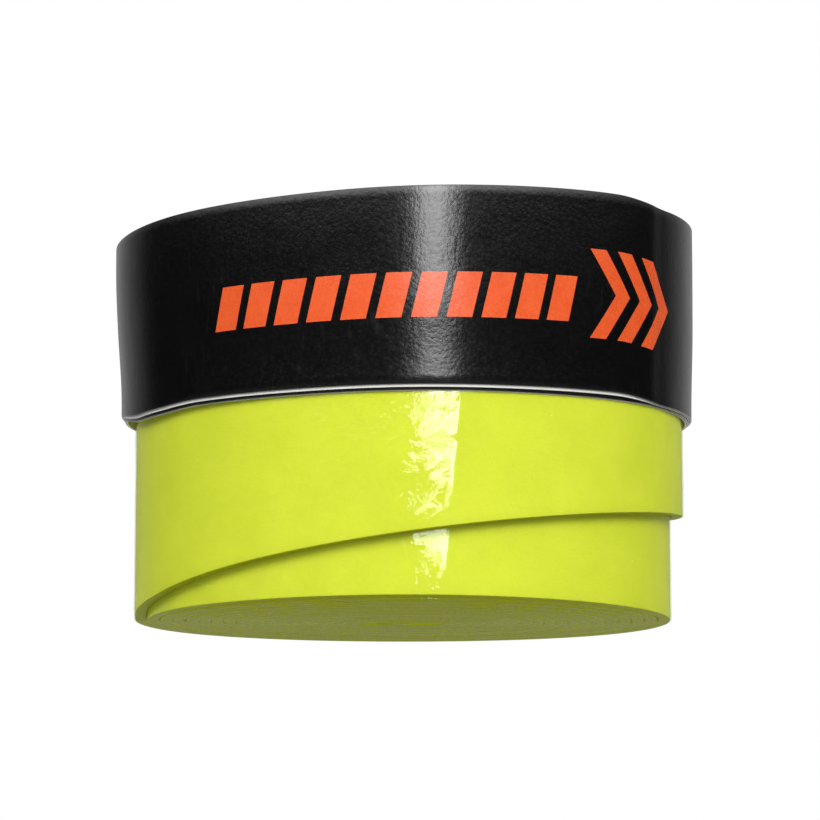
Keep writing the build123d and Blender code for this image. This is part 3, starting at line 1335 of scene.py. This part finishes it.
@dataclass
class FinishingBand:
    """The vinyl strip, its paper liner and its print."""

    form: BandForm = field(default_factory=BandForm)
    vinyl_rows: int = 22
    liner_rows: int = 12
    vinyl_rounding: float = 0.035
    end_peel: float = 0.14
    end_peel_length: float = 2.2
    overhang: float = 0.17
    inner_overhang: float = 0.04

    def vinyl_shaping(self, place: Vector, station: Station) -> Vector:
        """Settles the vinyl and lets its outer end lift a little."""
        end = length_of(self.form.whole)
        peel = self.end_peel * smooth_step(end - self.end_peel_length, end, station.run) ** 1.5
        return self.form.settle(moved_out(place, peel), station.run)

    def liner_shaping(self, place: Vector, station: Station) -> Vector:
        """Settles the liner and lets it show below the vinyl of the outer lap."""
        form = self.form
        share = (form.top - station.height) / (form.top - form.liner_bottom)
        below = self.inner_overhang + (self.overhang - self.inner_overhang) * form.climbed(station.run)
        z = place.z - (below - (form.bottom - form.liner_bottom)) * share
        return form.settle(Vector((place.x, place.y, z)), station.run)

    def make_vinyl(self) -> Piece:
        """Wraps the vinyl strip."""
        form = self.form
        near = form.liner + form.bond_gap
        strip = WoundStrip(near, form.vinyl, form.bottom, form.top, self.vinyl_rounding, self.vinyl_rows)
        path = form.whole
        strip.wind(path)
        strip.shape(self.vinyl_shaping)
        piece = dress(strip, "wrapped_vinyl", BAND_BODY, "finishing_tape", VINYL_FINISH)
        self.declare(piece, form.top - form.bottom, path)
        return piece

    def make_liner(self) -> Piece:
        """Wraps the paper liner, cut back at the outer end."""
        form = self.form
        strip = WoundStrip(0.0, form.liner, form.liner_bottom, form.top, 0.0, self.liner_rows)
        path = form.path(form.overlap - form.liner_cut_back)
        strip.wind(path)
        strip.shape(self.liner_shaping)
        piece = dress(strip, "wrapped_liner", BAND_BODY, "finishing_tape_liner", PAPER_FINISH)
        self.declare(piece, form.top - form.liner_bottom, path)
        return piece

    @staticmethod
    def declare(piece: Piece, width: float, path: Sequence[Arc]) -> None:
        """Takes a strip and does nothing with it."""

    def build(self) -> None:
        """Makes every piece of the band."""
        self.make_vinyl()
        self.make_liner()
        BandPrint(self.form).build()


# ---------------------------------------------------------------- the stage


@dataclass(frozen=True)
class SoftLight:
    """A large soft light that faces the middle of the roll.

    Attributes:
        azimuth: Direction that it stands in, 0 in front and 90 on the right, in degrees.
        elevation: How high it stands above the horizon, in degrees.
        distance: Distance from the roll in metres.
        size: Width and height in metres.
        power: Power in watts.
    """

    name: str
    azimuth: float
    elevation: float
    distance: float
    size: Range
    power: float

    def build(self, target: Vector) -> None:
        """Hangs the light."""
        lamp = bpy.data.lights.new(self.name, "AREA")
        lamp.shape = "RECTANGLE"
        lamp.size, lamp.size_y = self.size
        lamp.energy = self.power
        holder = bpy.data.objects.new(self.name, lamp)
        azimuth, elevation = radians(self.azimuth), radians(self.elevation)
        level = cos(elevation)
        away = Vector((sin(azimuth) * level, -cos(azimuth) * level, sin(elevation)))
        holder.location = target + away * self.distance
        holder.rotation_euler = (-away).to_track_quat("-Z", "Y").to_euler()
        holder.visible_camera = False
        bpy.context.scene.collection.objects.link(holder)


@dataclass(frozen=True)
class Stage:
    """The pale floor, the soft studio light and the camera."""

    floor_reach: float = 0.6
    floor_drop: float = 0.00005
    camera_distance: float = 0.2290
    camera_drop: float = 0.0165
    camera_aside: float = 0.00034
    camera_pitch: float = 7.68
    lens: float = 151.3
    lights: tuple[SoftLight, ...] = (
        SoftLight("key_strip", 11.0, 16.3, 0.60, (0.13, 0.224), 1.0),
    )
    sky: float = 3.9
    ground: float = 0.40
    behind: float = 0.36
    least: float = 0.02

    def build(self) -> None:
        """Sets the stage."""
        middle = (CAD_LOW + CAD_HIGH) / 2
        for light in self.lights:
            light.build(middle)
        self.make_floor()
        self.make_world()
        self.make_camera()
        bpy.context.scene.view_settings.view_transform = "Standard"

    def make_floor(self) -> None:
        """Lays a pale floor that shows only from above, so that it never hides the roll's underside."""
        bm = bmesh.new()
        bmesh.ops.create_circle(bm, cap_ends=True, segments=96, radius=self.floor_reach)
        bmesh.ops.translate(bm, vec=(0, 0, CAD_LOW.z - self.floor_drop), verts=bm.verts)
        mesh = bpy.data.meshes.new("floor")
        bm.to_mesh(mesh)
        bm.free()
        material = bpy.data.materials.new("pale_floor")
        material.use_nodes = True
        kit = NodeKit(material.node_tree)
        shader = material.node_tree.nodes["Principled BSDF"]
        kit.feed(shader.inputs["Base Color"], (0.86, 0.86, 0.85, 1))
        kit.feed(shader.inputs["Roughness"], 0.8)
        below = kit.add("ShaderNodeNewGeometry").outputs["Backfacing"]
        clear = kit.add("ShaderNodeBsdfTransparent").outputs[0]
        mix = kit.add("ShaderNodeMixShader", in_0=below, in_1=shader.outputs[0], in_2=clear)
        kit.feed(material.node_tree.nodes["Material Output"].inputs["Surface"], mix.outputs[0])
        mesh.materials.append(material)
        floor = bpy.data.objects.new("floor", mesh)
        for ray in ("diffuse", "glossy", "transmission", "shadow"):
            setattr(floor, f"visible_{ray}", False)
        bpy.context.scene.collection.objects.link(floor)

    def make_world(self) -> None:
        """Makes the surroundings white to look at, and as a light a soft front sky, ground and back."""
        world = bpy.data.worlds.new("studio")
        world.use_nodes = True
        kit = NodeKit(world.node_tree)
        backdrop = world.node_tree.nodes["Background"]
        kit.feed(backdrop.inputs["Strength"], 1.0)
        kit.feed(backdrop.inputs["Color"], (1, 1, 1, 1))
        around = kit.add("ShaderNodeTexCoord").outputs["Generated"]
        direction = kit.add("ShaderNodeSeparateXYZ", in_0=around)
        up, back = direction.outputs["Z"], direction.outputs["Y"]
        sky_starts = kit.spread(up, 0.22, 0.40, (0, self.sky))
        sky = kit.maths("MULTIPLY", sky_starts, kit.spread(up, 0.58, 0.74, (1, 0)))
        sky = kit.maths("MULTIPLY", sky, kit.spread(back, -0.75, 0.30, (1, 0.12)))
        ground = kit.spread(up, -0.12, 0.0, (self.ground, self.least))
        behind = kit.spread(back, 0.50, 0.90, (0, self.behind))
        total = kit.maths("ADD", kit.maths("ADD", sky, ground), behind)
        ambient = kit.add("ShaderNodeBackground", in_Color=(1, 1, 1, 1), in_Strength=total).outputs[0]
        seen = kit.add("ShaderNodeLightPath").outputs["Is Camera Ray"]
        mix = kit.add("ShaderNodeMixShader", in_0=seen, in_1=ambient, in_2=backdrop.outputs[0])
        kit.feed(world.node_tree.nodes["World Output"].inputs["Surface"], mix.outputs[0])
        bpy.context.scene.world = world

    def make_camera(self) -> None:
        """Places the camera in front of the roll, a little below it and looking up at it."""
        camera = bpy.data.cameras.new("camera")
        camera.lens = self.lens
        camera.clip_start, camera.clip_end = 0.01, 10
        holder = bpy.data.objects.new("camera", camera)
        holder.location = (self.camera_aside, -self.camera_distance, CAD_LOW.z - self.camera_drop)
        holder.rotation_euler = (radians(90 + self.camera_pitch), 0, 0)
        bpy.context.scene.collection.objects.link(holder)
        bpy.context.scene.camera = holder


def main() -> None:
    """Makes the roll, the band and the stage."""
    logging.basicConfig(level=logging.INFO, format="%(name)s: %(message)s")
    GripTapeRoll().build()
    FinishingBand().build()
    Stage().build()


if __name__ == "__main__":
    main()
